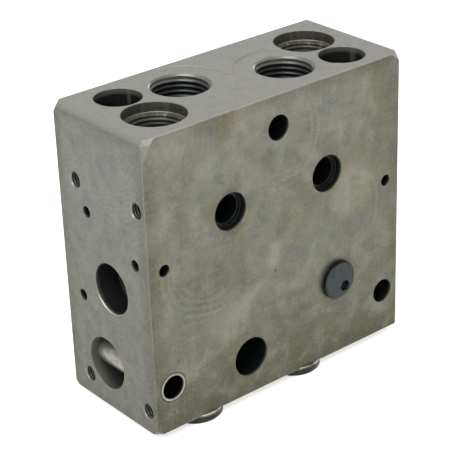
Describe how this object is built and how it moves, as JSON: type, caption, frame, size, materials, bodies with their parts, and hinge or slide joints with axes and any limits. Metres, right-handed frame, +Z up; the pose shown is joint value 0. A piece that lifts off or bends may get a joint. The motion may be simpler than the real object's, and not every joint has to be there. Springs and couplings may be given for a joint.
{
  "type": "hydraulic manifold block",
  "caption": "Drilled steel manifold block with threaded ports, stepped cartridge cavities, a bolted end face, blanking plugs and a sleeved bolt hole.",
  "frame": {"origin": "middle of the whole part's footprint, at the height of the two bottom plug heads it stands on", "axes": "+Z up out of the face with the threaded ports, +X along the large faces away from the drilled left end, +Y from the front face with the transfer ports to the back"},
  "size_m": [0.11, 0.0488, 0.1085],
  "materials": {
    "block_steel": "milled, oil-stained",
    "plug_steel": "blackened",
    "sleeve_steel": "drawn tube",
    "washer_aluminium": "plain",
    "seal_rubber": "matt"
  },
  "bodies": {
    "root": {"block": "block_steel", "front_plug": "plug_steel", "front_plug_seal": "seal_rubber", "bottom_plug_left": "plug_steel", "bottom_plug_right": "plug_steel", "bottom_washer_left": "washer_aluminium", "bottom_washer_right": "washer_aluminium", "bolt_sleeve": "sleeve_steel"}
  },
  "joints": []
}
